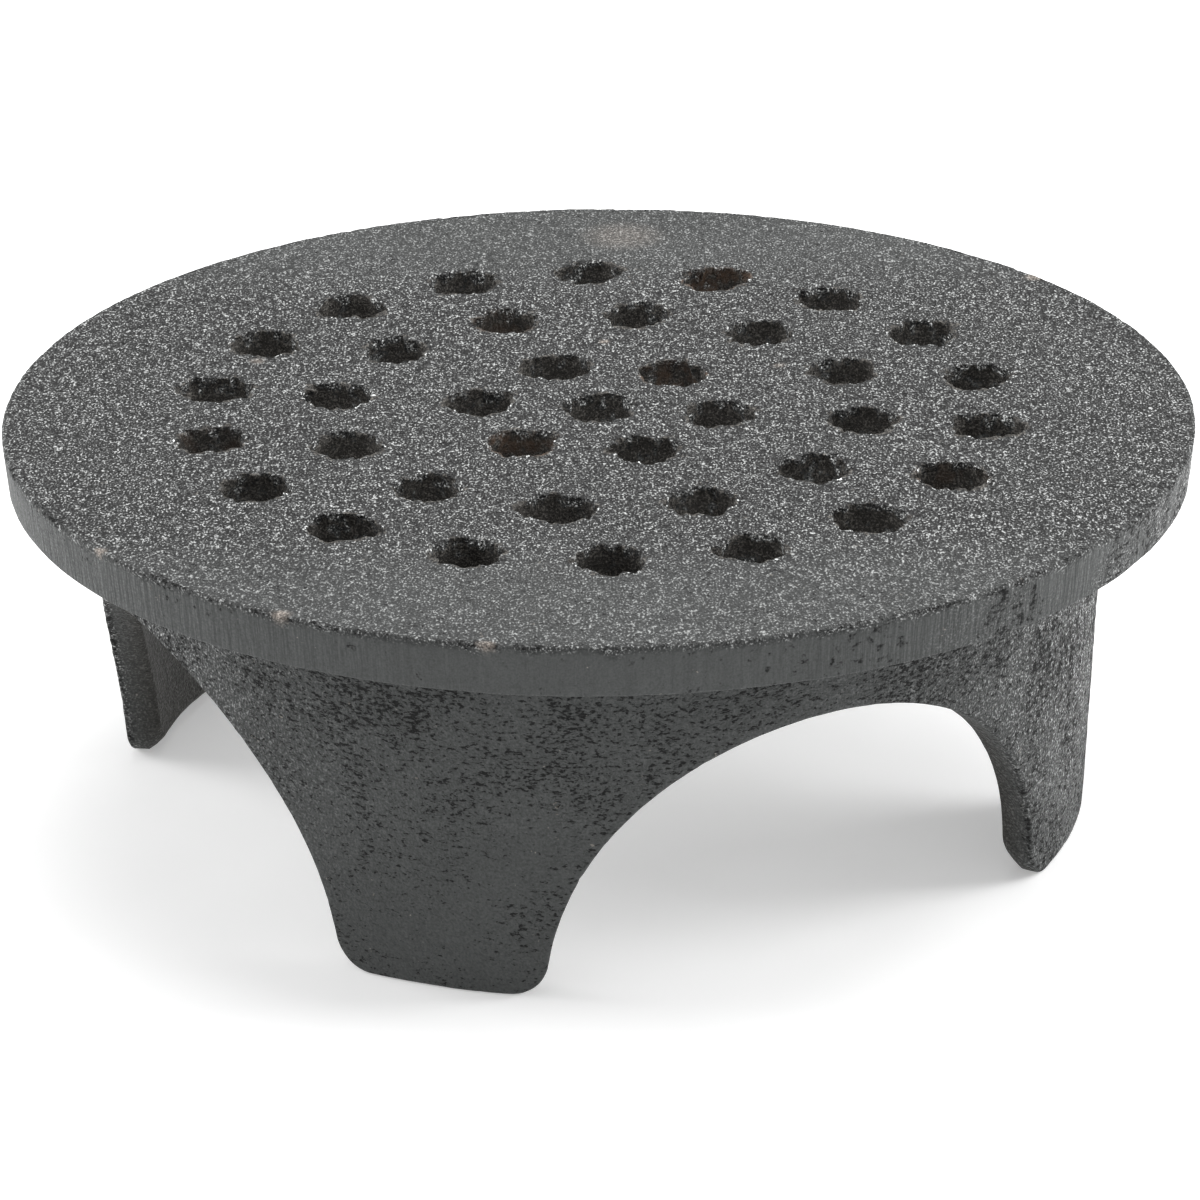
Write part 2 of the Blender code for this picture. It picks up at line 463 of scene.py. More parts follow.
PER_QUARTER = EDGE_SAMPLES - 1  # vertices of a wrapping row, for each quarter
wall_rows = build_wall_edge()
for upper_row, lower_row in zip(wall_rows, wall_rows[1:]):
    shell.strip(upper_row, lower_row)


def build_face(depth, row, step, flip):
    """The skirt's outer or inner face: one quarter's triangles, laid round four times.

    Returns its top ring, and each quarter's line where the leg is parted from the skirt.
    """
    own_edge = opened(inset_edge, depth)
    top = [(QUARTER * FLAT_RADIUS * i / RING_SAMPLES, SKIRT_TOP_Z) for i in range(RING_SAMPLES + 1)]
    side_z = np.linspace(SKIRT_TOP_Z, inset_edge[0, 1], SIDE_SAMPLES + 1)[1:-1]
    left = [(0.0, z) for z in side_z]
    right = [(QUARTER * FLAT_RADIUS, z) for z in side_z[::-1]]
    outline = top[:1] + left + [tuple(p) for p in own_edge] + right + top[:0:-1]
    a, b = own_edge[SPLIT], own_edge[SPLIT_FAR]
    share = np.linspace(0.0, 1.0, SPLIT_SAMPLES + 1)[1:-1, None]
    line = a + (b - a) * share
    loose, faces = fill(outline, [], step, extra=[line])
    tops, sides, lines, frees = [], [], [], []
    for quarter in range(ARCHES):
        tops.append(shell.add(roll_up(top[:-1], depth, quarter), "face"))
        sides.append(shell.add(roll_up(left, depth, quarter), "face"))
        lines.append(shell.add(roll_up(line, depth, quarter), "face"))
        frees.append(shell.add(roll_up(loose, depth, quarter), "face"))
    for quarter in range(ARCHES):
        after = (quarter + 1) % ARCHES
        own = row[quarter * PER_QUARTER : (quarter + 1) * PER_QUARTER] + [row[after * PER_QUARTER]]
        ids = [tops[quarter][0]] + sides[quarter] + own + sides[after][::-1]
        ids += [tops[after][0]] + tops[quarter][:0:-1]
        ids += lines[quarter] + frees[quarter]
        place(faces, ids, flip)
    return [i for quarter in tops for i in quarter], lines


outer_top, outer_lines = build_face(0.0, wall_rows[0], SKIRT_STEP, flip=False)
inner_top, inner_lines = build_face(WALL, wall_rows[-1], INNER_STEP, flip=True)


def build_fillets():
    """The curved corners between the skirt and the plate. Returns the inner ring under the plate."""
    before = under_outer
    for step in range(1, 4):
        turn = 0.5 * math.pi * step / 4
        z = UNDERSIDE - FILLET * (1 - math.cos(turn))
        row = ring(outer_radius(z) + FILLET * (1 - math.sin(turn)), z, "under")
        shell.strip(before, row)
        before = row
    shell.strip(before, outer_top)
    before = inner_top
    for step in range(1, 5):
        turn = 0.5 * math.pi * step / 4
        z = SKIRT_TOP_Z + FILLET * math.sin(turn)
        row = ring(outer_radius(z) - WALL - FILLET * (1 - math.cos(turn)), z, "under")
        shell.strip(before, row)
        before = row
    return before


under_inner = build_fillets()


def build_underside():
    """The plate's underside within the skirt."""
    loose, faces = fill(flat(under_inner), [flat(h) for h in hole_lows], UNDER_STEP)
    ids = under_inner + [i for h in hole_lows for i in h]
    ids = ids + shell.add([(x, y, UNDERSIDE) for x, y in loose], "under")
    place(faces, ids, flip=True)


build_underside()

# --- Casting skin -------------------------------------------------------------


def base_normals(points, faces):
    """Unit vertex normals of the gathered mesh, weighted by face area."""
    mesh = bpy.data.meshes.new("casting_base")
    mesh.from_pydata(points, [], faces)
    mesh.update()
    normals = np.empty(len(points) * 3, np.float32)
    mesh.vertex_normals.foreach_get("vector", normals)
    bpy.data.meshes.remove(mesh)
    return normals.reshape(-1, 3)


def lumps(p, size, seed=0.0, squash=1.0):
    """Smooth noise from about -1 to 1, with lumps of this size, squashed in height."""
    k = 1.0 / size
    return noise.noise(Vector((p[0] * k + seed, p[1] * k, p[2] * k * squash)))


PIT_SQUASH = 1.9


def pit(p, size, share, seed):
    """Depth from 0 to 1 of scattered pits, longer along the skirt than they are tall."""
    k = 1.0 / size
    q = Vector((p[0] * k + seed, p[1] * k, p[2] * k * PIT_SQUASH))
    distances, centres = noise.voronoi(q)
    pick = (0.5 * noise.cell(centres[0] * 3.7) + 0.5) % 1.0
    if pick > share:
        return 0.0
    reach = 0.2 + 0.25 * pick / share
    return min(1.0, max(0.0, 1.0 - distances[0] / reach))


def turned(p):
    """The point's direction from the centre, measured from the coarse-sided direction."""
    return math.atan2(p[1], p[0]) - GRAIN_TURN


def grain_at(p, patch):
    """How coarse the sand grain is, from 0 to 1.

    It is full on the top face, and faint on the smeared rim and on the two smooth sides of the skirt.
    """
    if patch == "rim":
        ragged_z = p[2] + 0.7 * MM * lumps(p, 2.2 * MM, 4.0)
        band = 0.65 * smooth_step(HEIGHT - 1.0 * MM, HEIGHT - 0.1 * MM, ragged_z)
        rough_end = max(0.0, math.cos(turned(p))) ** 3 * smooth_step(-0.4, 0.2, lumps(p, 6.0 * MM, 21.0, 0.5))
        return max(band, 0.75 * rough_end)
    if patch in ("face", "edge"):
        if inward_at(p) > 0.5:
            return 0.14
        side = math.cos(turned(p)) ** 4
        low = smooth_step(1.0 * MM, 26.0 * MM, p[2] + 3.0 * MM * lumps(p, 6.0 * MM, 2.0))
        return (0.06 + 0.84 * side) * (0.45 + 0.55 * low)
    if patch == "top":
        across = abs(math.hypot(p[0], p[1]) * math.sin(turned(p)))
        return 1.0 - 0.52 * smooth_step(24.0 * MM, 52.0 * MM, across)
    if patch == "hole":
        return 0.6 + 0.4 * smooth_step(HEIGHT - 2.5 * MM, HEIGHT - 0.8 * MM, p[2])
    return 0.6


def inward_at(p):
    """1 on the skirt's and legs' inner faces and in the openings' sides, 0 on their outer faces."""
    return smooth_step(0.3 * MM, 1.0 * MM, outer_radius(p[2]) - math.hypot(p[0], p[1]))


def pitted_at(p, patch, grain):
    """How thickly the face is strewn with pits, dark with painted shade in the material: most under the plate, fewer
    down the legs.
    """
    if patch in ("face", "edge"):
        if inward_at(p) > 0.5:
            return 0.3
        side = math.cos(turned(p)) ** 4
        high = smooth_step(6.0 * MM, UNDERSIDE, p[2])
        even = 0.4 + 0.42 * high * (1.0 - 0.6 * side) + 0.5 * side * (1.0 - 0.8 * high)
        return min(1.0, max(0.0, even + 0.5 * lumps(p, 7.0 * MM, 12.0)))
    if patch == "rim":
        side = max(0.0, math.cos(turned(p) + 0.5)) ** 2
        patchy = smooth_step(-0.35, 0.2, lumps(p, 9.0 * MM, 7.0, 0.5)) * (0.12 + 0.95 * side)
        edged = 1.6 * grain * smooth_step(-0.25, 0.35, lumps(p, 6.0 * MM, 17.0, 0.5))
        high = smooth_step(HEIGHT - 4.0 * MM, HEIGHT - 1.0 * MM, p[2])
        away = max(0.0, -math.cos(turned(p) - 0.35))
        flecked = 0.75 * high * away * smooth_step(-0.3, 0.2, lumps(p, 5.0 * MM, 27.0))
        return min(1.0, max(edged, patchy, flecked))
    return {"top": 0.25, "hole": 0.6}.get(patch, 0.5)


def relief(p, patch, grain, pitted):
    """Height of the skin over the pattern's surface, in metres."""
    height = 0.05 * lumps(p, 16.0 * MM) + 0.035 * lumps(p, 4.5 * MM, 3.0)
    height += grain * (0.085 * lumps(p, 1.15 * MM, 5.0) + 0.03 * lumps(p, 2.4 * MM, 8.0))
    if patch == "rim":
        streak = noise.noise(Vector((p[0] / (1.1 * MM), p[1] / (1.1 * MM), p[2] / (9.0 * MM))))
        height += 0.02 * streak - 0.26 * grain * pit(p, 1.6 * MM, 0.5, 3.0) - RIM_SKIN / MM
    elif patch in ("face", "edge"):
        height -= 0.13 * pitted * pit(p, 1.9 * MM, 0.5, 1.0) - 0.03 * lumps(p, 1.3 * MM, 9.0)
    elif patch == "hole":
        lip = smooth_step(HEIGHT - 2.2 * MM, HEIGHT - 0.3 * MM, p[2])
        height += 0.14 * lumps(p, 1.5 * MM, 6.0) + lip * (0.42 * lumps(p, 0.8 * MM, 14.0) - TOP_SKIN / MM)
    elif patch == "top":
        height -= 0.08 * pit(p, 2.6 * MM, 0.3, 2.0) + TOP_SKIN / MM
    return height * MM


RUST_REACH = 5.5 * MM
RUST_SPOTS = ((1, 0.85), (4, 0.8), (20, 1.0), (9, 0.4), (26, 0.35), (33, 0.4))  # (hole, strength)
# Pale clay stuck to the top face and its edge: (distance from the centre, degrees round, radius, strength)
CLAY_SPOTS = (
    (63.3 * MM, -169.0, 0.5 * MM, 1.0),
    (63.1 * MM, -146.2, 0.75 * MM, 0.9),
    (63.4 * MM, -126.5, 0.65 * MM, 0.8),
    (54.0 * MM, 60.5, 3.4 * MM, 0.26),
    (19.8 * MM, 61.7, 0.4 * MM, 1.0),
    (23.1 * MM, 5.0, 0.5 * MM, 0.5),
    (62.9 * MM, 12.0, 0.8 * MM, 0.7),
    (40.0 * MM, 132.0, 0.6 * MM, 0.6),
)
# What each vertex tells the material
KEYS = ("grain", "pitted", "smear", "inner", "upright", "lip", "rust", "clay")
UNDRAGGED_SHADE_LEAD = 0.36  # how much nearer the top face the walls' painted shade begins on the sides that sand wasn't dragged over
BOX_GAP = 0.01 * MM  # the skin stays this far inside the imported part's box
TOP_LIP = 0.9  # how strongly the top face counts as lip at a hole's edge
TOP_LIP_FALL = 1.6  # and how fast that fades with distance
LIP_REACH = 1.6 * MM  # how far the painted light and shade at a hole's crumbled edge reach, down into it and out over the top face


def hole_middles():
    """The centre of its hole, for each vertex of the holes' walls. The walls were gathered first, hole by hole."""
    each = shell.patches.count("hole") // len(hole_tops)
    return [centre for centre in hole_centres() for _ in range(each)]


def finish_skin():
    """Moves the pattern's vertices to the rough skin, and gives each the values that its colour needs."""
    points = np.array(shell.points)
    normals = base_normals(shell.points, shell.faces)
    values = {key: np.zeros(len(points), np.float32) for key in KEYS}
    moved = points.copy()
    middles = hole_middles()
    for index, (p, patch) in enumerate(zip(points.tolist(), shell.patches)):
        grain = grain_at(p, patch)
        pitted = pitted_at(p, patch, grain)
        moved[index] = points[index] + normals[index] * relief(p, patch, grain, pitted)
        values["grain"][index] = grain
        values["pitted"][index] = pitted
        if patch == "rim":
            values["smear"][index] = 1.0 - min(1.0, 1.4 * grain)
        if patch == "hole":
            x, y = middles[index]
            shade_lead = UNDRAGGED_SHADE_LEAD * (1.0 - dragged(math.atan2(p[1] - y, p[0] - x)))
            values["lip"][index] = 1.0 + min(1.0, shade_lead + (HEIGHT - p[2]) / LIP_REACH)
        if patch in ("face", "edge"):
            values["upright"][index] = 1.0
            values["inner"][index] = min(1.0, (outer_radius(p[2]) - math.hypot(p[0], p[1])) / WALL)
    in_hole = np.array(shell.patches) == "hole"
    on_top = np.flatnonzero(np.array(shell.patches) == "top")
    centres = list(hole_centres())
    for ring_ids in hole_tops:
        rim = points[ring_ids]
        middle = rim.mean(0)
        near = on_top[np.hypot(*(points[on_top] - middle)[:, :2].T) < HOLE_RADIUS + 2.5 * LIP_REACH]
        away = np.linalg.norm(points[near][:, None] - rim[None], axis=2).min(1)
        values["lip"][near] = np.maximum(values["lip"][near], TOP_LIP - TOP_LIP_FALL * away / LIP_REACH)
    for spot, strength in RUST_SPOTS:
        away = np.hypot(*(points[:, :2] - centres[spot]).T)
        values["rust"][in_hole & (away < RUST_REACH)] = strength
    for distance, turn, radius, strength in CLAY_SPOTS:
        at = (distance * math.cos(math.radians(turn)), distance * math.sin(math.radians(turn)), HEIGHT)
        away = np.linalg.norm(points - at, axis=1)
        spread = strength * np.clip(1.6 - away / radius, 0.0, 1.0)
        values["clay"] = np.maximum(values["clay"], spread.astype(np.float32))
    out = np.hypot(moved[:, 0], moved[:, 1])
    moved[:, :2] *= np.minimum(1.0, (PLATE_RADIUS - BOX_GAP) / np.maximum(out, MM))[:, None]
    moved[:, 2] = np.clip(moved[:, 2], 0.0, HEIGHT - BOX_GAP)
    return moved, values


skin, skin_values = finish_skin()


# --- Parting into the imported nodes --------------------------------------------
ROUNDING = 1e-7  # the least difference in height that counts


def leg_of(x, y):
    """Which packed leg stands in this direction from the centre."""
    return "leg_" + ("back" if y > 0 else "front") + "_" + ("right" if x > 0 else "left")


def leg_vertices():
    """Vertices of the wrap rows that lie below the split between skirt and legs."""
    low = set()
    for row in wall_rows:
        for quarter in range(ARCHES):
            start = quarter * PER_QUARTER
            low.update(row[start + SPLIT + 1 : start + SPLIT_FAR])
    return low


def face_owners():
    """The node that each face belongs to."""
    low = leg_vertices()
    wrap = {i for row in wall_rows for i in row}
    split_z = inset_edge[SPLIT, 1]
    patches = shell.patches
    owners = []
    for face in shell.faces:
        kinds = {patches[i] for i in face}
        if kinds <= {"top", "rim", "hole"} or kinds <= {"under", "hole", "rim"}:
            fillet = kinds == {"under"} and min(shell.points[i][2] for i in face) < UNDERSIDE - ROUNDING
            if not fillet:
                owners.append("perforated_plate")
                continue
        if "under" in kinds and kinds <= {"under", "face"}:
            owners.append("arched_skirt")
            continue
        x = sum(shell.points[i][0] for i in face) / len(face)
        y = sum(shell.points[i][1] for i in face) / len(face)
        if all(i in wrap for i in face):
            owners.append(leg_of(x, y) if any(i in low for i in face) else "arched_skirt")
            continue
        if any(i in low for i in face):
            owners.append(leg_of(x, y))
            continue
        z = sum(shell.points[i][2] - bevel_at(i) for i in face) / len(face)
        owners.append(leg_of(x, y) if z < split_z else "arched_skirt")
    return owners


def bevel_at(index):
    """How much of a vertex's height is the worn sole's rise, so that the split is level on both faces."""
    x, y, z = shell.points[index]
    depth = outer_radius(z) - math.hypot(x, y)
    return float(bevel(z, depth))


def iron_piece(name, faces, material):
    """One node's share of the casting, with the whole casting's normals so that borders don't show."""
    used = np.unique([i for face in faces for i in face])
    index = {int(old): new for new, old in enumerate(used)}
    mesh = bpy.data.meshes.new(name + "_iron")
    mesh.from_pydata(skin[used].tolist(), [], [tuple(index[i] for i in face) for face in faces])
    for key, values in skin_values.items():
        layer = mesh.attributes.new(key, "FLOAT", "POINT")
        layer.data.foreach_set("value", np.ascontiguousarray(values[used]))
    mesh.materials.append(material)
    mesh.shade_smooth()
    mesh.normals_split_custom_set_from_vertices(skin_normals[used].tolist())
    piece = bpy.data.objects.new(name + "_iron", mesh)
    bpy.context.scene.collection.objects.link(piece)
    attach(piece, "root")
    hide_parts(name)
    return piece


skin_normals = base_normals(skin.tolist(), shell.faces)


def caps():
    """Faces that close each piece where it was parted. They lie inside the casting."""
    closing = {}
    for i in range(AROUND):
        j = (i + 1) % AROUND
        band = (under_outer[j], under_outer[i], under_inner[i], under_inner[j])
        closing.setdefault("perforated_plate", []).append(band)
        closing.setdefault("arched_skirt", []).append((band[1], band[0], band[3], band[2]))
    for quarter in range(ARCHES):
        near = [row[quarter * PER_QUARTER + SPLIT] for row in wall_rows]
        far = [row[quarter * PER_QUARTER + SPLIT_FAR] for row in wall_rows]
        loop = near[:1] + outer_lines[quarter] + far + inner_lines[quarter][::-1] + near[:0:-1]
        x, y = shell.points[outer_lines[quarter][SPLIT_SAMPLES // 2]][:2]
        closing.setdefault(leg_of(x, y), []).append(tuple(loop))
        closing["arched_skirt"].append(tuple(loop[::-1]))
    return closing


# --- Iron ---------------------------------------------------------------------


class Graph:
    """Short hand for wiring shader nodes."""

    def __init__(self, material):
        material.use_nodes = True
        self.tree = material.node_tree
        self.tree.nodes.clear()

    def node(self, kind, operation=None):
        made = self.tree.nodes.new(kind)
        if operation:
            made.operation = operation
        return made

    def link(self, source, target):
        self.tree.links.new(source, target)

    def math(self, operation, a, b):
        made = self.node("ShaderNodeMath", operation)
        for socket, value in zip(made.inputs, (a, b)):
            if isinstance(value, (int, float)):
                socket.default_value = value
            else:
                self.link(value, socket)
        return made.outputs[0]

    def noise(self, where, scale, detail=2.0, rough=0.5):
        made = self.node("ShaderNodeTexNoise")
        made.inputs["Scale"].default_value = scale
        made.inputs["Detail"].default_value = detail
        made.inputs["Roughness"].default_value = rough
        self.link(where, made.inputs["Vector"])
        return made.outputs["Fac"]

    def stretch(self, where, longer):
        """The place turned to the grain's direction and drawn out by these factors."""
        made = self.node("ShaderNodeMapping")
        made.vector_type = "TEXTURE"
        made.inputs["Rotation"].default_value = (0.0, 0.0, GRAIN_TURN)
        made.inputs["Scale"].default_value = longer
        self.link(where, made.inputs["Vector"])
        return made.outputs["Vector"]

    def blend(self, share, first, second):
        """The first value where the share is 0, the second where it is 1."""
        return self.math("ADD", first, self.math("MULTIPLY", share, self.math("SUBTRACT", second, first)))

    def ramp(self, value, tones):
        """A grey for the value, from (value, grey) stops."""
        made = self.node("ShaderNodeValToRGB")
        stops = made.color_ramp.elements
        for at, grey in tones[1:-1]:
            stops.new(at)
        for stop, (at, grey) in zip(stops, tones):
            stop.position = at
            stop.color = (grey, grey * 1.02, grey * 1.01, 1.0)
        self.link(value, made.inputs["Fac"])
        return made.outputs["Color"]

    def tint(self, colour, by):
        """The colour times another."""
        made = self.node("ShaderNodeVectorMath", "MULTIPLY")
        self.link(colour, made.inputs[0])
        made.inputs[1].default_value = by[:3]
        return made.outputs["Vector"]

    def scale(self, colour, by):
        """The colour times a number."""
        made = self.node("ShaderNodeVectorMath", "SCALE")
        if isinstance(colour, tuple):
            made.inputs[0].default_value = colour[:3]
        else:
            self.link(colour, made.inputs[0])
        self.link(by, made.inputs["Scale"])
        return made.outputs["Vector"]

    def attribute(self, name):
        made = self.node("ShaderNodeAttribute")
        made.attribute_name = name
        return made.outputs["Fac"]

    def remap(self, value, low, high, to_low=0.0, to_high=1.0):
        """The value taken from low..high to to_low..to_high, and held at its ends."""
        made = self.node("ShaderNodeMapRange")
        for key, number in (("From Min", low), ("From Max", high), ("To Min", to_low), ("To Max", to_high)):
            made.inputs[key].default_value = number
        self.link(value, made.inputs["Value"])
        return made.outputs["Result"]

    def mix(self, share, a, b):
        made = self.node("ShaderNodeMix")
        made.data_type = "RGBA"
        self.link(share, made.inputs["Factor"])
        for key, value in ((6, a), (7, b)):
            if isinstance(value, tuple):
                made.inputs[key].default_value = value
            else:
                self.link(value, made.inputs[key])
        return made.outputs[2]


# The upper stops are painted glints: highlights off the sand grains, painted into the grain's grey.
SAND_AND_GLINT_TONES = ((0.34, 0.006), (0.46, 0.016), (0.54, 0.048), (0.60, 0.19), (0.68, 0.60))  # grain height to grey
SMOOTH = (0.056, 0.059, 0.058, 1.0)
# Painted shade: the shadow inside small dents, painted into the colour.
PIT_SHADE = (0.008, 0.008, 0.008, 1.0)
# Painted shade down the drain holes, dark with lighter grains.
HOLE_SHADE = (0.040, 0.037, 0.033, 1.0)
HOLE_GRAIN = (0.17, 0.16, 0.145, 1.0)
RUST = (0.088, 0.056, 0.037, 1.0)
CLAY = (0.38, 0.33, 0.29, 1.0)
# The darkening is painted shade on the inside of the skirt and the openings' sides; the brown is a tint.
INNER_SHADE_AND_TINT = (0.58, 0.53, 0.475, 1.0)  # the sides and inside are darker and browner

# Noise scales, in lumps to the metre
FINE_TOP, FINE_SIDE = 4600.0, 3900.0
MEDIUM_TOP, MEDIUM_SIDE = 1100.0, 1300.0
BROAD = 70.0
FINE_SHARE, MEDIUM_SHARE = 0.78, 0.22
TOP_STRETCH = (1.0, 1.75, 1.0)  # the grain is drawn out across the coarse sides' direction
STREAK_STRETCH = (1.0, 1.0, 22.0)  # the smeared rim is streaked from top to bottom
PIT_STRETCH = (1.0, 1.25, 0.52)
PIT_EDGE = (0.635, 0.715)  # where pits begin, and where they are fully dark
PIT_STRENGTH = 0.86
LIP_EDGE = (1.24, 1.28)  # where the brightened lip turns to the painted shade down the hole
HOLE_WALL_LIGHT = 3.0  # how much brighter a hole's wall is painted below its top edge: painted light on the crumbs
BUMP_DEPTH = 0.32 * MM


def make_iron():
    """Sand-cast iron: grain where the sand was coarse with painted glints, a smeared band on the rim, dark pits of
    painted shade, painted shade down the holes and inside the skirt, and painted light on the holes' walls.
    """
    material = bpy.data.materials.new("sand_cast_iron")
    g = Graph(material)
    here = g.node("ShaderNodeTexCoord").outputs["Object"]
    grain, pitted, smear = g.attribute("grain"), g.attribute("pitted"), g.attribute("smear")
    inner, lip, upright = g.attribute("inner"), g.attribute("lip"), g.attribute("upright")
    where = g.stretch(here, TOP_STRETCH)
    fine = g.blend(upright, g.noise(where, FINE_TOP, 1.2, 0.5), g.noise(here, FINE_SIDE, 1.2, 0.5))
    medium = g.blend(
        upright, g.noise(where, MEDIUM_TOP, 1.5, 0.55), g.noise(here, MEDIUM_SIDE, 1.5, 0.55)
    )
    broad = g.noise(here, BROAD, 3.0, 0.6)
    sand = g.math("ADD", g.math("MULTIPLY", fine, FINE_SHARE), g.math("MULTIPLY", medium, MEDIUM_SHARE))
    # The grain's grey, with painted glints on the highest grains.
    grain_and_glints = g.ramp(sand, SAND_AND_GLINT_TONES)
    plain = g.scale(SMOOTH, g.remap(sand, 0.3, 0.7, 0.86, 1.14))
    plain = g.scale(plain, g.remap(grain, 0.2, 0.5, 1.0, 1.22))
    tone = g.mix(g.remap(grain, 0.05, 0.85), plain, grain_and_glints)
    coarse_side = g.math("MULTIPLY", upright, grain)
    # On the coarse sides the grain's light and dark are pushed further apart: painted light and shade of the grain's
    # relief under the side lamps, over its own tone.
    tone = g.scale(tone, g.math("ADD", 1.0, g.math("MULTIPLY", coarse_side, g.remap(sand, 0.40, 0.60, -0.55, 0.5))))
    down = g.stretch(here, STREAK_STRETCH)
    streak = g.math("ADD", g.math("MULTIPLY", g.noise(down, 2400.0, 1.5, 0.6), 0.5),
                    g.math("MULTIPLY", g.noise(down, 950.0, 1.0, 0.6), 0.5))
    tone = g.scale(tone, g.math("ADD", 1.0, g.math("MULTIPLY", smear, g.remap(streak, 0.35, 0.65, -0.07, 0.07))))
    along = g.stretch(here, PIT_STRETCH)
    pits = g.math("ADD", g.math("MULTIPLY", g.noise(along, 1350.0, 2.5, 0.6), 0.7),
                  g.math("MULTIPLY", g.noise(along, 3100.0, 1.0, 0.5), 0.3))
    broken = g.math("ADD", g.math("MULTIPLY", g.noise(here, 900.0, 2.5, 0.62), 0.8),
                    g.math("MULTIPLY", g.noise(here, 2900.0, 1.0, 0.5), 0.2))
    pits = g.blend(g.math("MAXIMUM", coarse_side, g.math("MULTIPLY", smear, 0.8)), pits, broken)
    pits = g.math("ADD", pits, g.math("MULTIPLY", coarse_side, 0.045))
    # The pits' dark is painted shade, the shadow inside small dents painted into the colour.
    dark = g.remap(g.math("ADD", pits, g.math("MULTIPLY", pitted, 0.155)), *PIT_EDGE)
    tone = g.mix(g.math("MULTIPLY", dark, PIT_STRENGTH), tone, PIT_SHADE)
    clay = g.math("MULTIPLY", g.attribute("clay"), g.remap(sand, 0.42, 0.56, 0.35, 1.0))
    tone = g.mix(clay, tone, CLAY)
    # Painted shade, with a brown tint, on the inside faces.
    tone = g.mix(inner, tone, g.tint(tone, INNER_SHADE_AND_TINT))
    # Painted light: the walls of the holes are brightened to look lit.
    tone = g.scale(tone, g.remap(lip, 1.0, 1.25, 1.0, HOLE_WALL_LIGHT))
    ragged = g.math("ADD", g.math("MULTIPLY", g.noise(here, 560.0, 2.5, 0.62), 5.6), g.math("MULTIPLY", fine, 1.8))
    # Painted shade down the holes: past a ragged depth the wall takes a dark, grainy colour.
    hole_shade_share = g.remap(g.math("ADD", lip, g.math("SUBTRACT", ragged, 3.85)), *LIP_EDGE)
    tone = g.mix(hole_shade_share, tone, g.mix(g.remap(sand, 0.5, 0.66), HOLE_SHADE, HOLE_GRAIN))
    rusty = g.math("MULTIPLY", g.attribute("rust"), g.remap(g.noise(here, 420.0, 3.0), 0.47, 0.61))
    tone = g.mix(g.math("MULTIPLY", rusty, g.remap(lip, 0.9, 1.3)), tone, RUST)
    tone = g.scale(tone, g.remap(broad, 0.3, 0.7, 0.92, 1.08))
    rough = g.math("MAXIMUM", g.remap(sand, 0.35, 0.65, 0.70, 0.45), dark)
    height = g.math("ADD", g.math("MULTIPLY", fine, 0.9), g.math("MULTIPLY", medium, 1.3))
    height = g.math("SUBTRACT", height, g.math("MULTIPLY", dark, 0.9))
    height = g.math("MULTIPLY", height, g.remap(smear, 0.0, 1.0, 1.0, 0.25))
    height = g.math("ADD", height, g.math("MULTIPLY", g.math("MULTIPLY", streak, smear), 4.0))
    strength = g.math("MULTIPLY", g.remap(grain, 0.0, 1.0, 0.5, 1.0), g.remap(smear, 0.0, 1.0, 1.0, 0.8))
    height = g.math("MULTIPLY", height, g.remap(coarse_side, 0.0, 1.0, 1.0, 1.6))
    bump = g.node("ShaderNodeBump")
    bump.inputs["Distance"].default_value = BUMP_DEPTH
    g.link(strength, bump.inputs["Strength"])
    g.link(height, bump.inputs["Height"])
    shader = g.node("ShaderNodeBsdfPrincipled")
    shader.inputs["IOR"].default_value = 1.5
    shader.inputs["Specular IOR Level"].default_value = 0.25
    g.link(tone, shader.inputs["Base Color"])
    g.link(rough, shader.inputs["Roughness"])
    g.link(bump.outputs["Normal"], shader.inputs["Normal"])
    out = g.node("ShaderNodeOutputMaterial")
    g.link(shader.outputs["BSDF"], out.inputs["Surface"])
    return material


def build_pieces():
    """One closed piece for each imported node."""
    owners = face_owners()
    shares = {}
    for owner, face in zip(owners, shell.faces):
        shares.setdefault(owner, []).append(face)
    for owner, closing in caps().items():
        shares[owner].extend(closing)
    iron = make_iron()
    for name in sorted(shares):
        iron_piece(name, shares[name], iron)


build_pieces()


# --- Floor, light and camera --------------------------------------------------


FLOOR_REACH = 4.0
FLOOR_GAP = 0.02 * MM  # under the soles
FLOOR_TONES = ((0.86, 0.86, 0.86, 1.0), (0.88, 0.88, 0.88, 1.0))
FLOOR_GLOW = 0.31  # lightens the floor towards the photo's white
WORLD_LIGHT = 0.5
# Soft boxes: name, azimuth and rise in degrees, distance, size, power in watts
BOXES = (
    ("top_box", 150.0, 72.0, 0.9, (0.9, 0.9), 9.0),
    ("left_box", -105.0, 22.0, 0.8, (0.4, 0.5), 4.0),
    ("right_box", 99.0, 22.0, 0.8, (0.35, 0.45), 4.7),
)


def make_floor():
    """A pale studio floor with a slight glow of its own."""
    size = FLOOR_REACH
    mesh = bpy.data.meshes.new("studio_floor")
    corners = [(-size, -size, 0), (size, -size, 0), (size, size, 0), (-size, size, 0)]
    mesh.from_pydata(corners, [], [(0, 1, 2, 3)])
    material = bpy.data.materials.new("studio_paper")
    g = Graph(material)
    where = g.node("ShaderNodeTexCoord").outputs["Object"]
    mottle = g.noise(where, 6.0, 2.0)
    shader = g.node("ShaderNodeBsdfPrincipled")
    g.link(g.mix(mottle, *FLOOR_TONES), shader.inputs["Base Color"])
    shader.inputs["Roughness"].default_value = 0.9
    shader.inputs["Emission Color"].default_value = (1.0, 1.0, 1.0, 1.0)
    shader.inputs["Emission Strength"].default_value = FLOOR_GLOW
    out = g.node("ShaderNodeOutputMaterial")
    g.link(shader.outputs["BSDF"], out.inputs["Surface"])
    mesh.materials.append(material)
    floor = bpy.data.objects.new("studio_floor", mesh)
    bpy.context.scene.collection.objects.link(floor)
    floor.location.z = -FLOOR_GAP


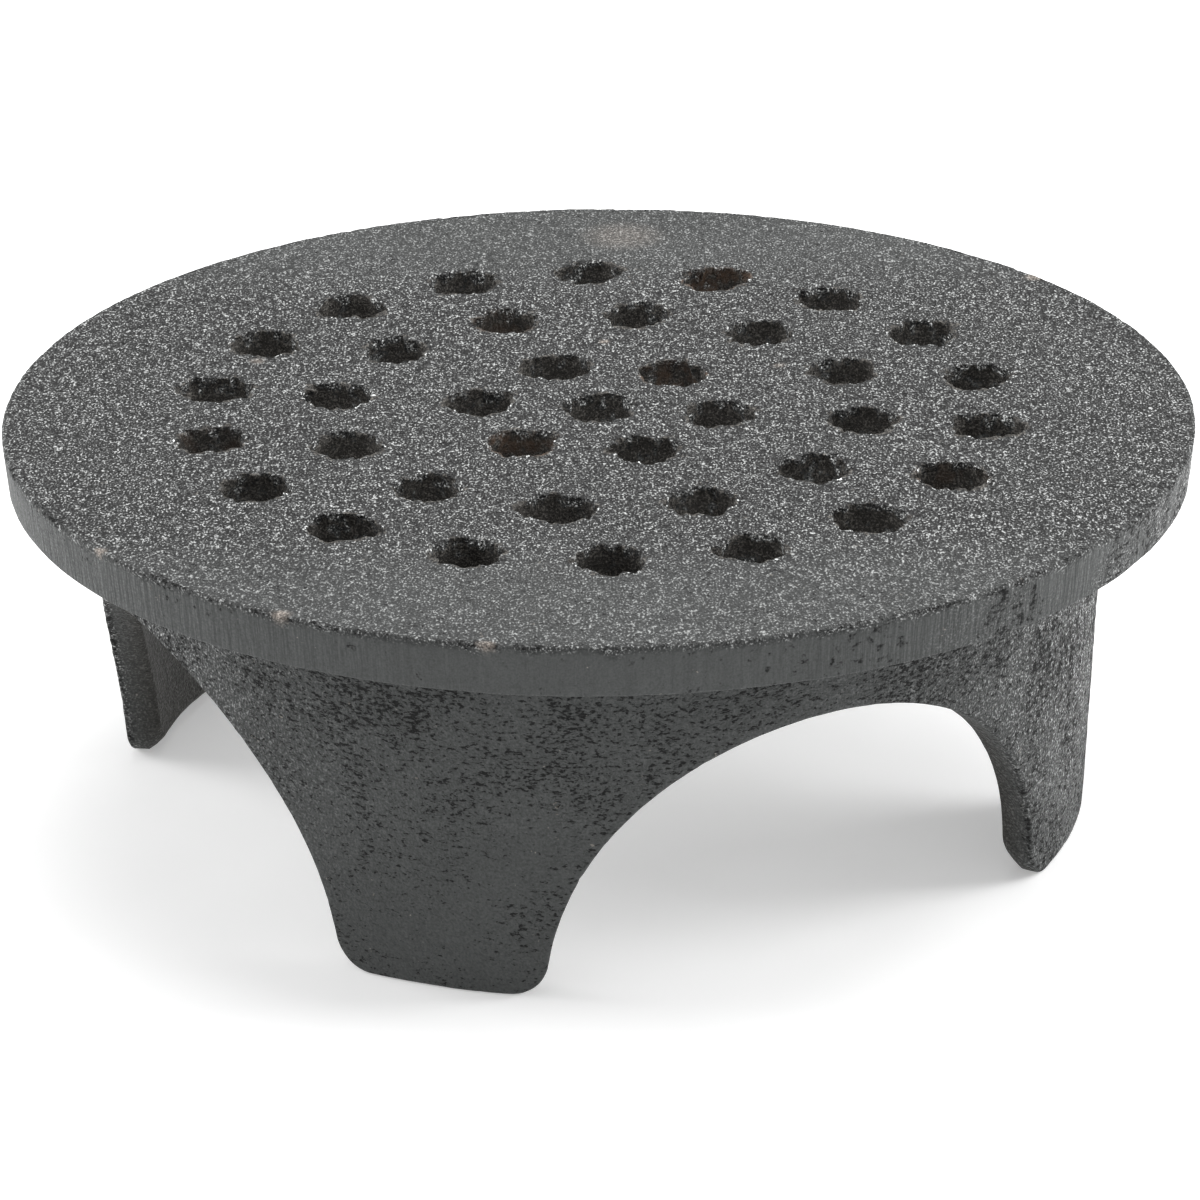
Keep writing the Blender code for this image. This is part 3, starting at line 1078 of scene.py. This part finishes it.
CENTRE = Vector((0.0, 0.0, HEIGHT))
VIEW_TURN = math.radians(-26.4)  # the camera stands this far round from -Y, towards -X
VIEW_RISE = math.radians(21.463)
VIEW_PITCH = math.radians(23.384)
VIEW_ROLL = math.radians(-0.455)
VIEW_DISTANCE = 9.69 * PLATE_RADIUS
VIEW_LENS = 172.79


def make_camera():
    """The camera that the photo was taken with, as fitted to its outlines."""
    turn = Matrix.Rotation(VIEW_TURN, 3, "Z")
    place = CENTRE + turn @ Vector((0.0, -math.cos(VIEW_RISE), math.sin(VIEW_RISE))) * VIEW_DISTANCE
    forward = turn @ Vector((0.0, math.cos(VIEW_PITCH), -math.sin(VIEW_PITCH)))
    right = turn @ Vector((1.0, 0.0, 0.0))
    up = right.cross(forward)
    cos, sin = math.cos(VIEW_ROLL), math.sin(VIEW_ROLL)
    right, up = cos * right + sin * up, -sin * right + cos * up
    camera = bpy.data.objects.new("photo_camera", bpy.data.cameras.new("photo_camera"))
    camera.data.lens = VIEW_LENS
    camera.data.sensor_width = 36.0
    camera.data.clip_start = 0.05
    camera.data.clip_end = 20.0
    basis = Matrix((right, up, -forward)).transposed()
    camera.matrix_world = Matrix.Translation(place) @ basis.to_4x4()
    bpy.context.scene.collection.objects.link(camera)
    bpy.context.scene.camera = camera


def area_light(name, azimuth, rise, distance, size, power):
    """A square soft box aimed at the grate. Azimuth, in degrees, is from the camera's side to its right."""
    a = VIEW_TURN + math.radians(azimuth)
    e = math.radians(rise)
    direction = Vector((math.sin(a) * math.cos(e), -math.cos(a) * math.cos(e), math.sin(e)))
    data = bpy.data.lights.new(name, "AREA")
    data.shape = "RECTANGLE"
    data.size, data.size_y = size
    data.energy = power
    light = bpy.data.objects.new(name, data)
    light.location = Vector((0, 0, HEIGHT / 2)) + direction * distance
    light.rotation_euler = direction.to_track_quat("Z", "Y").to_euler()
    bpy.context.scene.collection.objects.link(light)


def light_studio():
    """A white surround and three soft boxes."""
    world = bpy.data.worlds.new("studio")
    world.use_nodes = True
    background = world.node_tree.nodes["Background"]
    background.inputs["Color"].default_value = (1.0, 1.0, 1.0, 1.0)
    background.inputs["Strength"].default_value = WORLD_LIGHT
    bpy.context.scene.world = world
    for box in BOXES:
        area_light(*box)


make_floor()
make_camera()
light_studio()
bpy.context.scene.view_settings.view_transform = "Standard"
